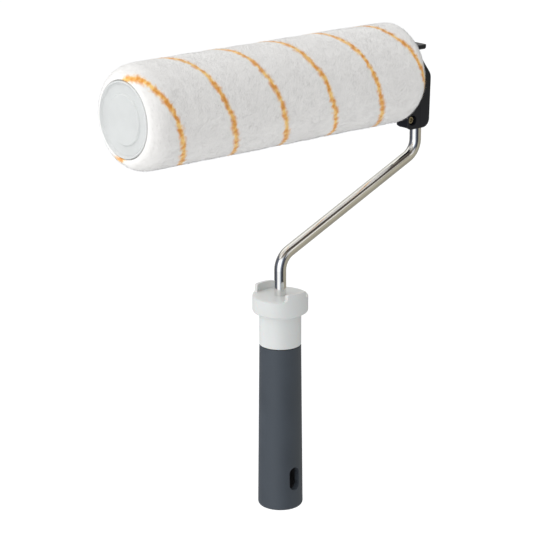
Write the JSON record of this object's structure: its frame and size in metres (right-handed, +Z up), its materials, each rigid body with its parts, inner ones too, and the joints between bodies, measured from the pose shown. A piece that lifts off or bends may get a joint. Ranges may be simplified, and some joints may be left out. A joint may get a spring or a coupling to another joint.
{
  "type": "paint roller",
  "caption": "Hand paint roller: long-pile sleeve on a bent steel rod frame with a thumb eject lever and a soft-grip handle with a pole socket.",
  "frame": {"origin": "centre of the handle's bottom face, at the mouth of the pole socket", "axes": "+Z up the handle, +X along the roller's axis towards the casing and lever, +Y completes the right-handed frame; the bent rod lies in Y = 0"},
  "size_m": [0.2566, 0.0686, 0.3218],
  "materials": {
    "plated_rod": "bright zinc plate, drawn wire",
    "collar_plastic": "light grey moulded polypropylene, satin",
    "grip_rubber": "soft-touch thermoplastic rubber, fine matte grain",
    "liner_plastic": "glass-filled nylon, matte",
    "steel_small": "plain spring steel",
    "casing_plastic": "black moulded nylon, satin",
    "lever_plastic": "black moulded nylon, satin",
    "brassy_screw": "yellow passivated steel",
    "hub_plastic": "natural acetal",
    "ring_plastic": "black acetal",
    "pile_fabric": "woven polyamide pile with two orange stripe yarns",
    "core_plastic": "white polypropylene tube",
    "cap_plastic": "translucent natural polyethylene"
  },
  "bodies": {
    "frame": {"frame_rod": "plated_rod", "handle_core": "collar_plastic", "handle_grip": "grip_rubber", "pole_socket_liner": "liner_plastic", "rod_cross_pin": "steel_small", "casing_body": "casing_plastic", "casing_cover": "casing_plastic", "clamp_screw": "brassy_screw", "barrel_nut": "brassy_screw", "lever_pivot_pin": "steel_small", "lever_spring": "steel_small", "axle_spacer": "hub_plastic", "outboard_washer": "steel_small", "retaining_clip": "steel_small", "axle_tip_guide": "hub_plastic"},
    "lever": {"eject_lever": "lever_plastic"},
    "carrier": {"carrier_hub": "hub_plastic", "finger_spring": "steel_small"},
    "ejector": {"ejector_ring": "ring_plastic"},
    "sleeve": {"pile_cover": "pile_fabric", "sleeve_core": "core_plastic", "outer_end_cap": "cap_plastic", "outer_bearing": "core_plastic", "inner_end_plug": "cap_plastic"}
  },
  "joints": [
    {"name": "lever_hinge", "type": "hinge", "parent": "frame", "child": "lever", "pos_m": [0.1124, 0, 0.3006], "axis": [0, 1, 0], "range_deg": [0, 16], "stiffness_Nm_per_rad": 0.05, "springref_deg": -8.59, "deforming": ["lever_spring"]},
    {"name": "sleeve_spin", "type": "hinge", "parent": "frame", "child": "carrier", "pos_m": [0, 0, 0.2875], "axis": [1, 0, 0], "continuous": true},
    {"name": "eject_slide", "type": "slide", "parent": "carrier", "child": "ejector", "axis": [-1, 0, 0], "range_m": [0, 0.0048]},
    {"name": "sleeve_off", "type": "slide", "parent": "ejector", "child": "sleeve", "axis": [-1, 0, 0], "range_m": [0, 0.215]}
  ],
  "couplings": [
    {"joint": "lever_hinge", "follows": "eject_slide", "rad_per_m": 58.17}
  ]
}
